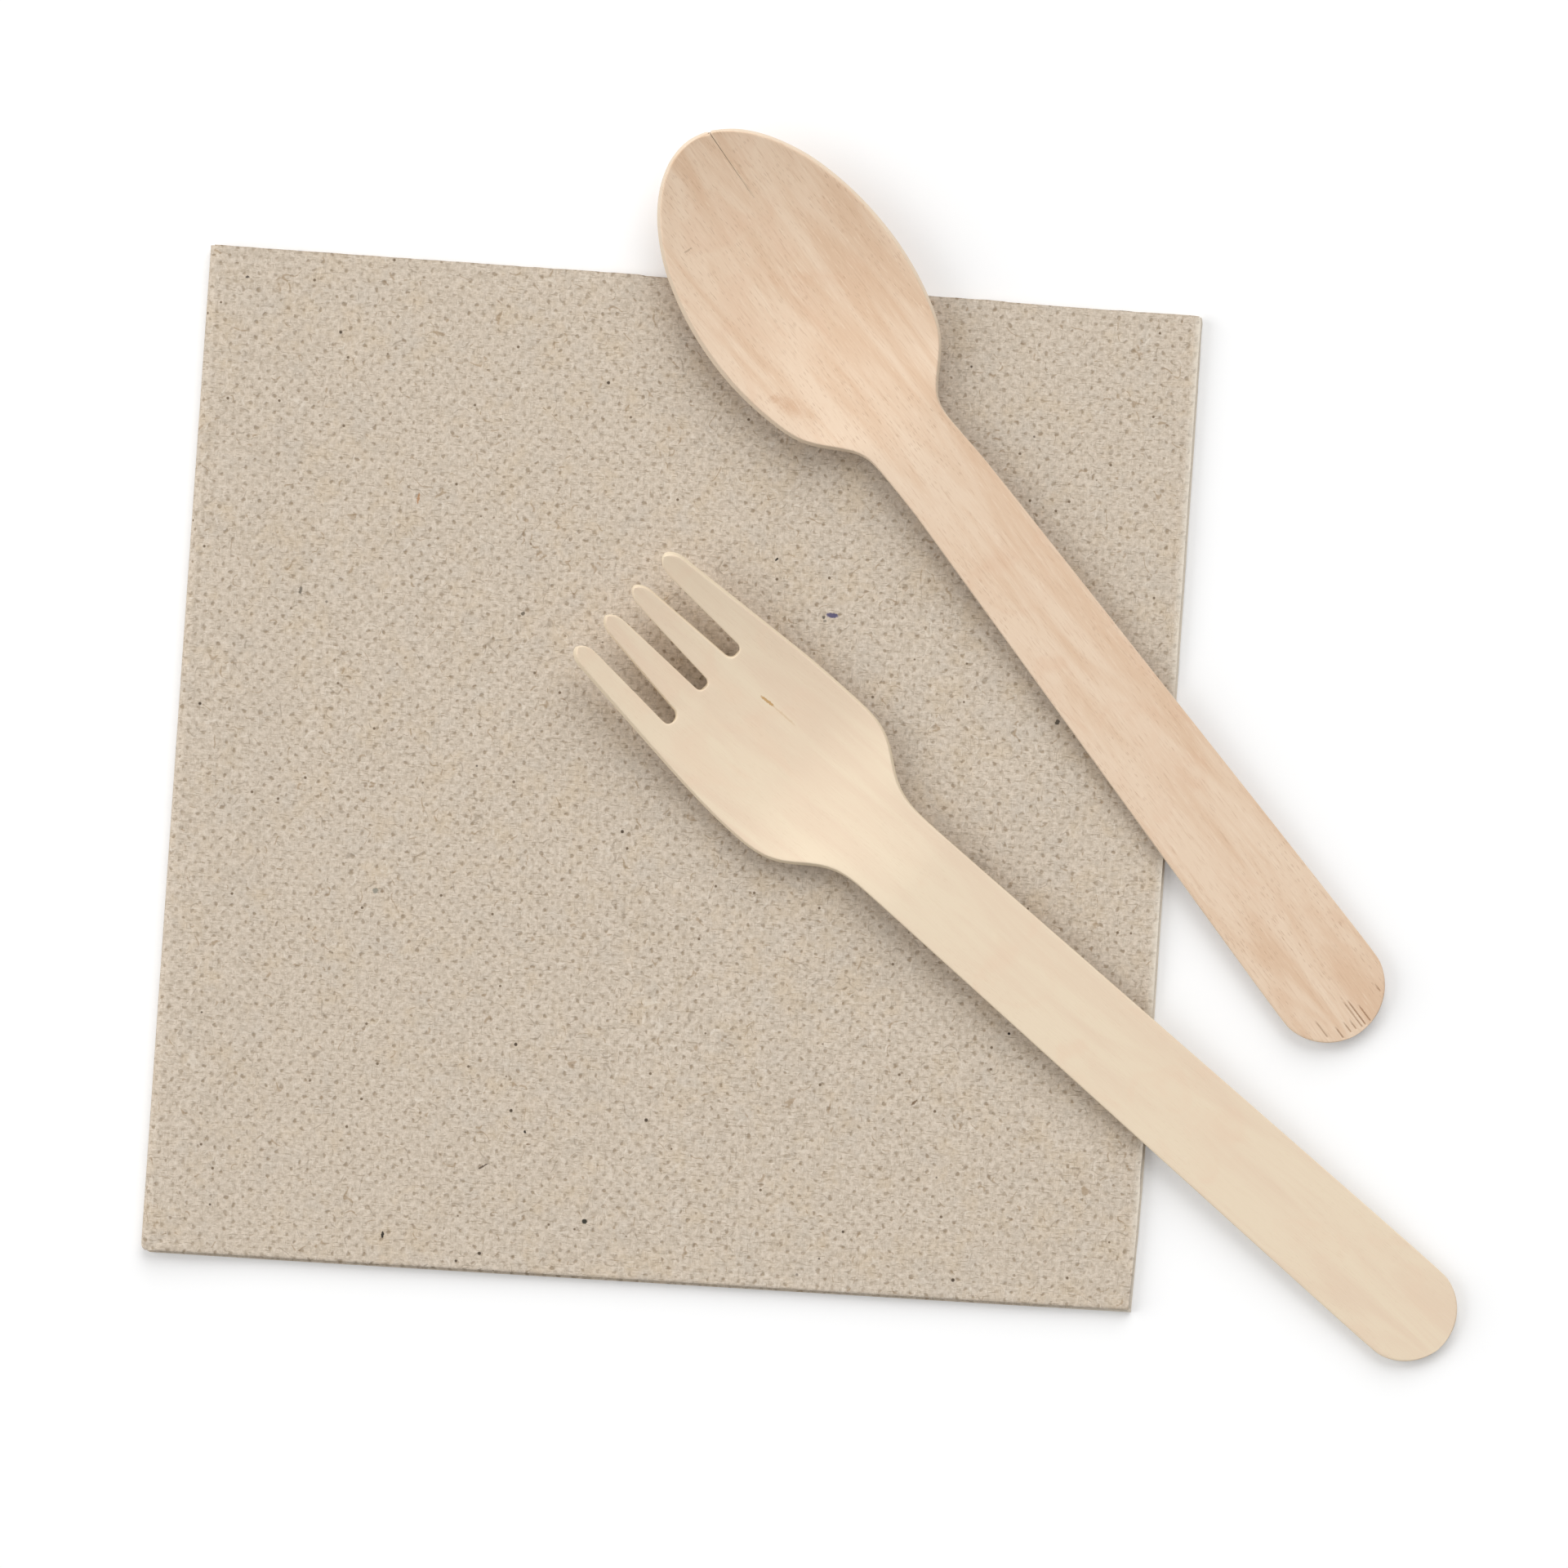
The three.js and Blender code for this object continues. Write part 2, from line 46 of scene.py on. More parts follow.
def node(tree, kind, inputs=None, **settings):
    """A shader node with its settings, and with each input joined to a socket or given a value."""
    made = tree.nodes.new(kind)
    for name, value in settings.items():
        setattr(made, name, value)
    for name, value in (inputs or {}).items():
        if isinstance(value, bpy.types.NodeSocket):
            tree.links.new(value, made.inputs[name])
        else:
            made.inputs[name].default_value = value
    return made


table_glow = 0.15


def white_table_finish():
    """White in mirrors and behind glass, and to the camera a matt white that is lifted a little."""
    finish = bpy.data.materials.new("white_table")
    finish.use_nodes = True
    tree = finish.node_tree
    tree.nodes.clear()
    lit = node(tree, "ShaderNodeBsdfDiffuse", {"Color": (0.86, 0.86, 0.86, 1)})
    glow = node(tree, "ShaderNodeEmission", {"Color": (1, 1, 1, 1), "Strength": table_glow})
    both = node(tree, "ShaderNodeAddShader")
    tree.links.new(lit.outputs[0], both.inputs[0])
    tree.links.new(glow.outputs[0], both.inputs[1])
    white = node(tree, "ShaderNodeEmission", {"Color": (1, 1, 1, 1), "Strength": 1.0})
    path = node(tree, "ShaderNodeLightPath")
    mirrored = node(tree, "ShaderNodeMath", {
        0: path.outputs["Is Glossy Ray"], 1: path.outputs["Is Transmission Ray"],
    }, operation="MAXIMUM")
    seen = node(tree, "ShaderNodeMixShader", {"Fac": path.outputs["Is Camera Ray"]})
    tree.links.new(lit.outputs[0], seen.inputs[1])
    tree.links.new(both.outputs[0], seen.inputs[2])
    shown = node(tree, "ShaderNodeMixShader", {"Fac": mirrored.outputs[0]})
    tree.links.new(seen.outputs[0], shown.inputs[1])
    tree.links.new(white.outputs[0], shown.inputs[2])
    output = node(tree, "ShaderNodeOutputMaterial")
    tree.links.new(shown.outputs[0], output.inputs["Surface"])
    return finish


bpy.ops.object.select_all(action="DESELECT")
bpy.ops.mesh.primitive_plane_add(size=6, location=(0, 0, -0.0001))
table = bpy.context.object
table.name = "table"
table.data.materials.append(white_table_finish())


def soft_lamp(name, toward, height, distance, size, strength):
    """A square lamp aimed at the pack, from its direction (from +X to +Y) and its height in degrees."""
    turn, rise = math.radians(toward), math.radians(height)
    level = math.cos(rise)
    place = distance * Vector((math.cos(turn) * level, math.sin(turn) * level, math.sin(rise)))
    lamp = bpy.data.lights.new(name, "AREA")
    lamp.size = size
    lamp.energy = strength
    holder = bpy.data.objects.new(name, lamp)
    holder.location = place
    holder.rotation_euler = (-place).to_track_quat("-Z", "Y").to_euler()
    bpy.context.scene.collection.objects.link(holder)


soft_lamp("far_lamp", toward=80, height=42, distance=5.0, size=4.6, strength=192.0)
soft_lamp("left_lamp", toward=176, height=35, distance=5.0, size=4.2, strength=134.0)

world = bpy.data.worlds.new("studio")
world.use_nodes = True
sky = world.node_tree.nodes["Background"]
sky.inputs["Color"].default_value = (1, 1, 1, 1)
sky.inputs["Strength"].default_value = 0.36
bpy.context.scene.world = world

camera_height = 1.15
measured_height = 0.0025
picture_width = 0.23133
picture_middle = (0.016576, 0.000785)
camera_turn = 4.0
sensor = 36.0
lens = bpy.data.cameras.new("camera")
lens.sensor_width = sensor
lens.lens = sensor * (camera_height - measured_height) / picture_width
lens.clip_end = 20
camera = bpy.data.objects.new("camera", lens)
camera.location = (*picture_middle, camera_height)
camera.rotation_euler = (0, 0, math.radians(camera_turn))
bpy.context.scene.collection.objects.link(camera)
bpy.context.scene.camera = camera
bpy.context.scene.view_settings.view_transform = "Standard"


# The napkin: one sheet of soft recycled paper, folded in half towards +Y and again towards +X.
# Its four leaves lie loosely on each other, open at the two cut edges and round at the two folds,
# and a roller has pressed rows of fine dots into it, in a diamond pattern.

sheet_width, sheet_length = 0.2942, 0.2967
paper, leaf_gap = 0.00035, 0.0002
dot_pitch_x, dot_pitch_y = 0.00231, 0.00239
half_width, half_length = sheet_width / 4, sheet_length / 4
pair = 2 * paper + leaf_gap
stack = 2 * pair + leaf_gap
under_leaf_proud, cut_edge_stagger = 0.0004, 0.00015
corner_radius = 0.0012
fold_rise, fold_rise_length = 0.0006, 0.018
swell_broad, swell_fine, swell_sink = 0.00016, 0.00007, 0.0001
fold_slant, left_draw, near_corner_draw = 0.0087, 0.00016, 0.00045
leaf_step, far_waver, right_waver = 0.00018, 0.00007, 0.00009
corner_trim, corner_trim_share = 0.0005, 0.4
crease_depth, crease_width, crease_length = 0.0003, 0.0007, 0.009
dot_depth, dot_radius = 0.00009, 0.00045
sharp_angle = math.radians(50)


def blend(value, low, high):
    """How far a value has come from low to high, from 0 to 1, with a soft start and end."""
    share = np.clip((value - low) / (high - low), 0, 1)
    return share * share * (3 - 2 * share)


def noise_at(x, y, scale, seed):
    return noise.noise(Vector((x * scale, y * scale, seed)))


def paper_section():
    """The pair of leaves across the first fold, round its closed outline: (y, offset from the middle).
    The leaf with the negative offset is the upper face, with a point at every quarter of a dot's pitch."""
    outer, inner = pair / 2, leaf_gap / 2
    centre = -half_length + outer
    cut = half_length - cut_edge_stagger
    step = dot_pitch_y / 4
    rows = np.arange(math.floor(centre / step) + 2, math.ceil(cut / step) - 1)
    bends = [math.pi * i / 6 for i in range(1, 6)]
    coarse = np.linspace(centre, half_length, 9)
    outline = [(y, -outer) for y in [centre, *(rows * step), cut]]
    outline += [(y, -inner) for y in np.linspace(cut, centre, 8)]
    outline += [(centre - inner * math.sin(t), -inner * math.cos(t)) for t in bends]
    outline += [(y, inner) for y in coarse]
    outline += [(y, outer) for y in coarse[::-1]]
    for t in bends:
        rise = math.copysign(abs(math.cos(t)) ** 0.5, math.cos(t))
        outline.append((centre - outer * math.sin(t) ** 0.5, outer * rise))
    return np.array(outline)


def second_fold():
    """The line (x, z) that the pair of leaves follows, from its lower cut edge round to its upper one."""
    low, high = pair / 2, stack - pair / 2
    radius = (high + fold_rise - low) / 2
    centre = -half_width + radius + pair / 2
    points = [(x, low) for x in np.linspace(half_width, centre, 9)]
    points += [(centre - radius * math.sin(t) ** 0.85, low + radius - radius * math.cos(t))
               for t in [math.pi * i / 10 for i in range(1, 10)]]
    cut = half_width - under_leaf_proud
    step = dot_pitch_x / 4
    columns = np.arange(math.floor(centre / step) + 1, math.ceil(cut / step) - 1)
    for x in [centre, *(columns * step), cut]:
        points.append((x, high + fold_rise * (1 - blend(x, centre, centre + fold_rise_length))))
    return np.array(points)


def pressed_dots(x, y):
    """How deep the roller's dots are at a point: it pressed unevenly, and hardly at all along the folds."""
    nearest = 1.0
    for shift in (0, 0.5):
        column, row = x / dot_pitch_x + shift, y / dot_pitch_y + shift
        off_column, off_row = column - round(column), row - round(row)
        nearest = min(nearest, math.hypot(off_column * dot_pitch_x, off_row * dot_pitch_y))
    pressure = 0.85 + 0.4 * noise_at(x, y, 55, 3.1) + 0.35 * noise_at(x, y, 210, 8.4)
    edge = min(half_width - abs(x), half_length - abs(y))
    dot = math.exp(-((nearest / dot_radius) ** 2))
    return dot_depth * max(0.15, min(1.3, pressure)) * dot * min(1, edge / 0.002)


def folded_napkin():
    """The pair of leaves carried along the second fold: points and faces, with the two ends still open."""
    section, path = paper_section(), second_fold()
    fold = int(np.argmin(path[:, 0]))
    points = []
    for i, (x, z) in enumerate(path):
        before, after = path[max(i - 1, 0)], path[min(i + 1, len(path) - 1)]
        along = (after - before) / np.linalg.norm(after - before)
        from_fold = x - path[fold, 0]
        inside = max(0, corner_radius - from_fold)
        draw = corner_radius - math.sqrt(corner_radius ** 2 - inside ** 2)
        if i > fold:
            draw = max(draw, under_leaf_proud)
        for y, offset in section:
            px, py, pz = x + along[1] * offset, y, z - along[0] * offset
            outer_face = offset < -pair / 2 + 1e-9
            if py < 0:
                py += draw
            if outer_face and i > fold:
                pz -= pressed_dots(px, py)
            points.append((px, py, pz))
    count = len(section)
    faces = []
    for i in range(len(path) - 1):
        for j in range(count):
            a, b = i * count + j, i * count + (j + 1) % count
            faces.append((a, a + count, b + count, b))
    return np.array(points), faces


def loosened(points):
    """The lie of real paper: leaves that swell, cut edges that waver and folds a little out of square."""
    for p in points:
        x, y, z = p
        lift = z / stack
        swell = swell_broad * noise_at(x, y, 22, 0.7) + swell_fine * noise_at(x, y, 90, 5.2) - swell_sink
        p[2] = z + swell * min(1.3, lift) * min(1, z / 0.0004)
        near = 0.5 - y / half_length / 2
        p[1] += fold_slant * x * near
        cut = blend(y, half_length - 0.0012, half_length - 0.0005)
        step = leaf_step * (1 - blend(x, -0.0105, -0.0085)) - leaf_step * blend(x, 0.044, 0.0455)
        p[1] += cut * (step + far_waver * noise_at(x, z * 3, 420, 1.3))
        side = blend(x, half_width - 0.0014, half_width - 0.0007)
        p[0] += side * right_waver * noise_at(y, z * 3, 300, 6.6)
        p[0] += left_draw * (1 - blend(x, -half_width, -half_width + 0.02))
        p[0] -= near_corner_draw * side * blend(-y, half_length - 0.014, half_length)
        over = corner_trim - (half_width - x), corner_trim - (half_length - y)
        if min(over) > 0:
            p[0] -= corner_trim_share * over[1]
            p[1] -= corner_trim_share * over[0]
        corner = math.hypot(x + half_width, y + half_length)
        crease = math.exp(-(((x + half_width) - (y + half_length) * 1.5) / crease_width) ** 2)
        p[2] -= crease_depth * lift * crease * max(0, 1 - corner / crease_length)
    return points


def paper_piece(name):
    """The napkin as one closed mesh, which knows where its cut edges are."""
    points, faces = folded_napkin()
    mesh = bpy.data.meshes.new(name)
    mesh.from_pydata(loosened(points).tolist(), [], faces)
    piece = bpy.data.objects.new(name, mesh)
    bpy.context.scene.collection.objects.link(piece)
    bpy.ops.object.select_all(action="DESELECT")
    piece.select_set(True)
    bpy.context.view_layer.objects.active = piece
    bpy.ops.object.mode_set(mode="EDIT")
    bpy.ops.mesh.select_all(action="DESELECT")
    bpy.ops.mesh.select_mode(type="EDGE")
    bpy.ops.mesh.select_non_manifold(
        use_wire=False, use_multi_face=False, use_non_contiguous=False, use_verts=False)
    bpy.ops.mesh.fill()
    bpy.ops.mesh.select_all(action="SELECT")
    bpy.ops.mesh.normals_make_consistent(inside=False)
    bpy.ops.object.mode_set(mode="OBJECT")
    bpy.ops.object.shade_smooth_by_angle(angle=sharp_angle)
    # The cut_edge value marks the strip at the right cut edge, which the paper's finish paints lighter.
    cut_edge = mesh.attributes.new("cut_edge", "FLOAT", "POINT")
    reach = np.array([v.co.x for v in mesh.vertices])
    cut_edge.data.foreach_set("value", blend(reach, half_width - 0.0008, half_width - 0.0003))
    return piece


def linear(*shades):
    """A colour given in 0 to 255, as the shader wants it."""
    return (*[(s / 255 / 12.92) if s < 10.3 else ((s / 255 + 0.055) / 1.055) ** 2.4 for s in shades], 1)


def tinted(tree, colour, amount, tint):
    """Lays a tint over a colour."""
    laid = node(tree, "ShaderNodeMix", {
        "Factor": amount, "A": colour, "B": linear(*tint),
    }, data_type="RGBA")
    return laid.outputs["Result"]


def masked(tree, value, low, high, top=1.0):
    """Turns a value into a mask that is 0 at low and top at high."""
    made = node(tree, "ShaderNodeMapRange", {
        "Value": value, "From Min": low, "From Max": high, "To Min": 0.0, "To Max": top,
    }, interpolation_type="SMOOTHSTEP")
    return made.outputs[0]


def product(tree, one, other):
    return node(tree, "ShaderNodeMath", {0: one, 1: other}, operation="MULTIPLY").outputs[0]


def group(name, inputs, outputs):
    """A node group, with the sockets that it is given and those that it puts out."""
    made = bpy.data.node_groups.new(name, "ShaderNodeTree")
    for label, kind in inputs:
        made.interface.new_socket(label, in_out="INPUT", socket_type=kind)
    for label, kind in outputs:
        made.interface.new_socket(label, in_out="OUTPUT", socket_type=kind)
    return made, node(made, "NodeGroupInput").outputs, node(made, "NodeGroupOutput").inputs


def fleck_group():
    """A mask for one long spot with ragged edges, from its place, its turn, its length and its width."""
    made, given, wanted = group("fleck", [
        ("Place", "NodeSocketVector"), ("Centre", "NodeSocketVector"), ("Turn", "NodeSocketFloat"),
        ("Size", "NodeSocketVector"), ("Ragged", "NodeSocketFloat"), ("Core", "NodeSocketFloat"),
    ], [("Mask", "NodeSocketFloat")])
    shifted = node(made, "ShaderNodeVectorMath", {
        0: given["Place"], 1: given["Centre"],
    }, operation="SUBTRACT")
    turned = node(made, "ShaderNodeVectorRotate", {
        "Vector": shifted.outputs[0], "Angle": given["Turn"],
    }, rotation_type="Z_AXIS")
    ragged = node(made, "ShaderNodeTexNoise", {"Vector": given["Place"], "Scale": 3500.0, "Detail": 1.0})
    middle = node(made, "ShaderNodeVectorMath", {
        0: ragged.outputs["Color"], 1: (0.5, 0.5, 0.5),
    }, operation="SUBTRACT")
    pushed = node(made, "ShaderNodeVectorMath", {
        0: middle.outputs[0], "Scale": given["Ragged"],
    }, operation="SCALE")
    moved = node(made, "ShaderNodeVectorMath", {0: turned.outputs[0], 1: pushed.outputs[0]}, operation="ADD")
    scaled = node(made, "ShaderNodeVectorMath", {0: moved.outputs[0], 1: given["Size"]}, operation="DIVIDE")
    far = node(made, "ShaderNodeVectorMath", {0: scaled.outputs[0]}, operation="LENGTH")
    mask = node(made, "ShaderNodeMapRange", {
        "Value": far.outputs["Value"], "From Min": given["Core"], "From Max": 0.55,
        "To Min": 1.0, "To Max": 0.0,
    }, interpolation_type="SMOOTHSTEP")
    made.links.new(mask.outputs[0], wanted["Mask"])
    return made


fleck = fleck_group()


def flecked(tree, place, colour, spots, ragged, core=0.35):
    """Lays spots over a colour, each as x, y, turn, length, width, tint, strength, in mm and degrees."""
    for x, y, turn, long, wide, tint, strength in spots:
        spot = node(tree, "ShaderNodeGroup", {
            "Place": place, "Centre": (x / 1000, y / 1000, 0), "Turn": math.radians(-turn),
            "Size": (long / 1000, wide / 1000, 1), "Ragged": ragged, "Core": core,
        }, node_tree=fleck)
        colour = tinted(tree, colour, product(tree, spot.outputs["Mask"], strength), tint)
    return colour


def recycled_paper_finish():
    """Recycled pulp: tinted patches, felted and curled fibres, the pressed dots darkened as painted shade,
    specks, larger flecks, and the right cut edge lightened partly as painted light.
    """
    finish = bpy.data.materials.new("recycled_paper")
    finish.use_nodes = True
    tree = finish.node_tree
    shader = tree.nodes["Principled BSDF"]
    place = node(tree, "ShaderNodeTexCoord").outputs["Object"]

    def cloud(scale, detail, rough=0.5, stretch=(1, 1, 1), seed=0.0, warp=0.0):
        laid = node(tree, "ShaderNodeVectorMath", {0: place, 1: stretch}, operation="MULTIPLY")
        return node(tree, "ShaderNodeTexNoise", {
            "Vector": laid.outputs[0], "W": seed, "Scale": scale, "Detail": detail, "Roughness": rough,
            "Distortion": warp,
        }, noise_dimensions="4D")

    def channels(texture):
        return node(tree, "ShaderNodeSeparateColor", {"Color": texture.outputs["Color"]}).outputs

    pulp = cloud(1500, 4.0, 0.75).outputs["Fac"]
    colour = node(tree, "ShaderNodeMix", {"Factor": masked(tree, pulp, 0.32, 0.68)}, data_type="RGBA")
    colour.inputs["A"].default_value = linear(190, 176, 158)
    colour.inputs["B"].default_value = linear(220, 206, 189)
    colour = colour.outputs["Result"]
    patches = channels(cloud(230, 3.0, 0.6, seed=2.0))
    colour = tinted(tree, colour, masked(tree, patches["Red"], 0.48, 0.7, 0.28), (208, 186, 154))
    colour = tinted(tree, colour, masked(tree, patches["Green"], 0.5, 0.7, 0.25), (196, 188, 177))
    felt = channels(cloud(900, 2.0, 0.5, (1, 6, 1), 4.0))
    colour = tinted(tree, colour, masked(tree, felt["Red"], 0.56, 0.68, 0.6), (154, 137, 116))
    colour = tinted(tree, colour, masked(tree, felt["Green"], 0.57, 0.7, 0.5), (230, 219, 204))
    nap = channels(cloud(900, 2.0, 0.5, (6, 1, 1), 6.0))
    colour = tinted(tree, colour, masked(tree, nap["Red"], 0.58, 0.7, 0.4), (160, 144, 124))
    colour = tinted(tree, colour, masked(tree, nap["Green"], 0.6, 0.7, 0.4), (228, 218, 204))

    curls = channels(cloud(260, 0.6, 0.5, seed=9.0))
    lengths = channels(cloud(700, 1.0, 0.5, seed=11.0))
    for channel, tint, share in (
        ("Red", (148, 120, 86), 0.5), ("Green", (132, 116, 98), 0.4), ("Blue", (236, 226, 212), 0.35),
    ):
        off_line = node(tree, "ShaderNodeMath", {0: curls[channel], 1: 0.5}, operation="SUBTRACT")
        far = node(tree, "ShaderNodeMath", {0: off_line.outputs[0]}, operation="ABSOLUTE").outputs[0]
        line = masked(tree, far, 0.012, 0.003)
        short = masked(tree, lengths[channel], 0.56, 0.62, share)
        colour = tinted(tree, colour, product(tree, line, short), tint)

    lattice = node(tree, "ShaderNodeVectorMath", {
        0: place, 1: (dot_pitch_x, dot_pitch_y, 1),
    }, operation="DIVIDE").outputs[0]
    jitter = node(tree, "ShaderNodeVectorMath", {
        0: cloud(1200, 1.0, seed=13.0).outputs["Color"], 1: (0.5, 0.5, 0.5),
    }, operation="SUBTRACT")
    pushed = node(tree, "ShaderNodeVectorMath", {
        0: jitter.outputs[0], 1: (0.4, 0.4, 0),
    }, operation="MULTIPLY")
    lattice = node(tree, "ShaderNodeVectorMath", {
        0: lattice, 1: pushed.outputs[0],
    }, operation="ADD").outputs[0]
    spans = []
    for shift in (0.5, 1.0):
        moved = node(tree, "ShaderNodeVectorMath", {0: lattice, 1: (shift, shift, 0)}, operation="ADD")
        cell = node(tree, "ShaderNodeVectorMath", {0: moved.outputs[0]}, operation="FRACTION")
        centred = node(tree, "ShaderNodeVectorMath", {
            0: cell.outputs[0], 1: (0.5, 0.5, 0),
        }, operation="SUBTRACT")
        flat = node(tree, "ShaderNodeVectorMath", {0: centred.outputs[0], 1: (1, 1, 0)}, operation="MULTIPLY")
        far = node(tree, "ShaderNodeVectorMath", {0: flat.outputs[0]}, operation="LENGTH")
        spans.append(far.outputs["Value"])
    nearest = node(tree, "ShaderNodeMath", {0: spans[0], 1: spans[1]}, operation="MINIMUM").outputs[0]
    dots = masked(tree, nearest, 0.17, 0.05)
    uneven = node(tree, "ShaderNodeMapRange", {
        "Value": cloud(420, 2.0, seed=15.0).outputs["Fac"],
        "From Min": 0.36, "From Max": 0.62, "To Min": 0.25, "To Max": 1.0,
    }).outputs[0]
    dots = product(tree, dots, uneven)
    # Painted shade: the pressed dots are darkened towards brown, unevenly, as the shade in each small pit.
    colour = tinted(tree, colour, product(tree, dots, 0.68), (142, 122, 98))

    for scale, share, width, tint in (
        (300.0, 0.9, 0.1, (92, 80, 68)), (520.0, 0.9, 0.14, (128, 112, 94)),
        (210.0, 0.93, 0.055, (52, 46, 42)),
    ):
        specks = node(tree, "ShaderNodeTexVoronoi", {"Vector": place, "Scale": scale, "Randomness": 1.0})
        rare = masked(tree, channels(specks)["Red"], share, share + 0.02)
        small = masked(tree, specks.outputs["Distance"], width, width * 0.6)
        colour = tinted(tree, colour, product(tree, rare, small), tint)

    colour = flecked(tree, place, colour, napkin_flecks, 0.0003)
    # Partly the paler cut fibres, partly painted light: the right cut edge and the strip of the lower leaf
    # are lightened against the shade that the upper leaves cast there.
    rim = node(tree, "ShaderNodeAttribute", attribute_name="cut_edge").outputs["Fac"]
    colour = tinted(tree, colour, product(tree, rim, 0.75), (236, 228, 214))
    tree.links.new(colour, shader.inputs["Base Color"])
    shader.inputs["Roughness"].default_value = 0.95
    shader.inputs["Specular IOR Level"].default_value = 0.12

    tooth = node(tree, "ShaderNodeMath", {0: pulp, 1: dots}, operation="SUBTRACT").outputs[0]
    raised = node(tree, "ShaderNodeBump", {"Height": tooth, "Strength": 0.5, "Distance": 0.00012})
    tree.links.new(raised.outputs[0], shader.inputs["Normal"])
    return finish


ink_blue, soot, smoke = (78, 74, 112), (42, 38, 34), (112, 104, 92)
bran, rust = (118, 94, 70), (168, 116, 66)
napkin_flecks = [
    (21.95, 26.1, -3, 2.0, 0.8, ink_blue, 0.9), (20.7, 25.75, 40, 0.55, 0.5, soot, 0.75),
    (20.9, 25.2, 0, 0.5, 0.4, smoke, 0.7), (-8.3, -65.7, 0, 0.85, 0.85, (48, 48, 42), 0.95),
    (-18.0, -53.1, 20, 0.45, 0.55, soot, 0.95), (-17.4, -54.9, 0, 0.75, 0.25, bran, 0.8),
    (-37.9, -69.7, 88, 1.05, 0.45, soot, 0.95), (13.2, 33.8, 62, 0.65, 0.4, soot, 0.95),
    (-23.6, 23.2, 0, 0.7, 0.65, (108, 98, 84), 0.9), (-56.6, 24.4, 82, 1.35, 0.5, smoke, 0.85),
    (-42.5, -19.1, 0, 0.95, 0.9, (126, 126, 116), 0.7), (-41.4, -19.2, 0, 0.55, 0.4, bran, 0.5),
    (-23.8, -58.6, 33, 1.9, 0.3, (94, 80, 68), 0.9), (-67.6, 69.9, 8, 0.7, 0.4, (82, 72, 66), 0.9),
    (-40.2, 39.1, 84, 1.8, 0.4, rust, 0.75), (39.0, -44.8, 45, 1.4, 0.4, bran, 0.85),
    (56.2, 12.7, 60, 0.9, 0.7, soot, 0.8),
]

napkin = paper_piece("napkin_sheet")
napkin.data.materials.append(recycled_paper_finish())
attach(napkin, "root")
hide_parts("napkin")


# The spoon: one birch veneer, cut out with a die and pressed hot, so its bowl is dished and its
# handle flat. The steamed wood is pinkish, the cut edge is lightly worn round by tumbling,
# and the tip has split along the grain in drying.

worn_round = 0.00022
folded_angle = math.radians(150)


def veneer_piece(name, cad_node, edge_round, tear=None):
    """The pressed veneer of a utensil, from its solid: smooth, and with its cut edges worn round.
    tear works on the shape before that, and gives the edges of a split, which stay sharp."""
    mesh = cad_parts[cad_node].data.copy()
    mesh.name = name
    mesh.materials.clear()
    piece = bpy.data.objects.new(name, mesh)
    bpy.context.scene.collection.objects.link(piece)
    bpy.ops.object.select_all(action="DESELECT")
    piece.select_set(True)
    bpy.context.view_layer.objects.active = piece
    bpy.ops.object.mode_set(mode="EDIT")
    bpy.ops.mesh.select_all(action="SELECT")
    bpy.ops.mesh.remove_doubles(threshold=0.000002)
    bpy.ops.mesh.tris_convert_to_quads(face_threshold=sharp_angle, shape_threshold=math.radians(110))
    bpy.ops.object.mode_set(mode="OBJECT")

    shape = bmesh.new()
    shape.from_mesh(mesh)
    worn = shape.edges.layers.float.new("bevel_weight_edge")
    sharp = shape.edges.layers.float.new("crease_edge")
    torn = tear(shape) if tear else set()
    for edge in shape.edges:
        if edge in torn:
            edge[sharp] = 1.0
        elif sharp_angle < edge.calc_face_angle(0) < folded_angle:
            edge[worn] = 1.0
    shape.to_mesh(mesh)
    shape.free()

    rim = piece.modifiers.new("rim", "BEVEL")
    rim.limit_method = "WEIGHT"
    rim.width = edge_round
    rim.segments = 2
    rim.use_clamp_overlap = False
    fine = piece.modifiers.new("fine", "SUBSURF")
    fine.levels = fine.render_levels = 2
    for made in ("rim", "fine"):
        bpy.ops.object.modifier_apply(modifier=made)
    bpy.ops.object.shade_smooth_by_angle(angle=sharp_angle)
    cut_edge = mesh.attributes.new("cut_edge", "FLOAT", "POINT")
    tilt = np.array([abs(v.normal.z) for v in mesh.vertices])
    cut_edge.data.foreach_set("value", 1 - blend(tilt, 0.3, 0.85))
    return piece


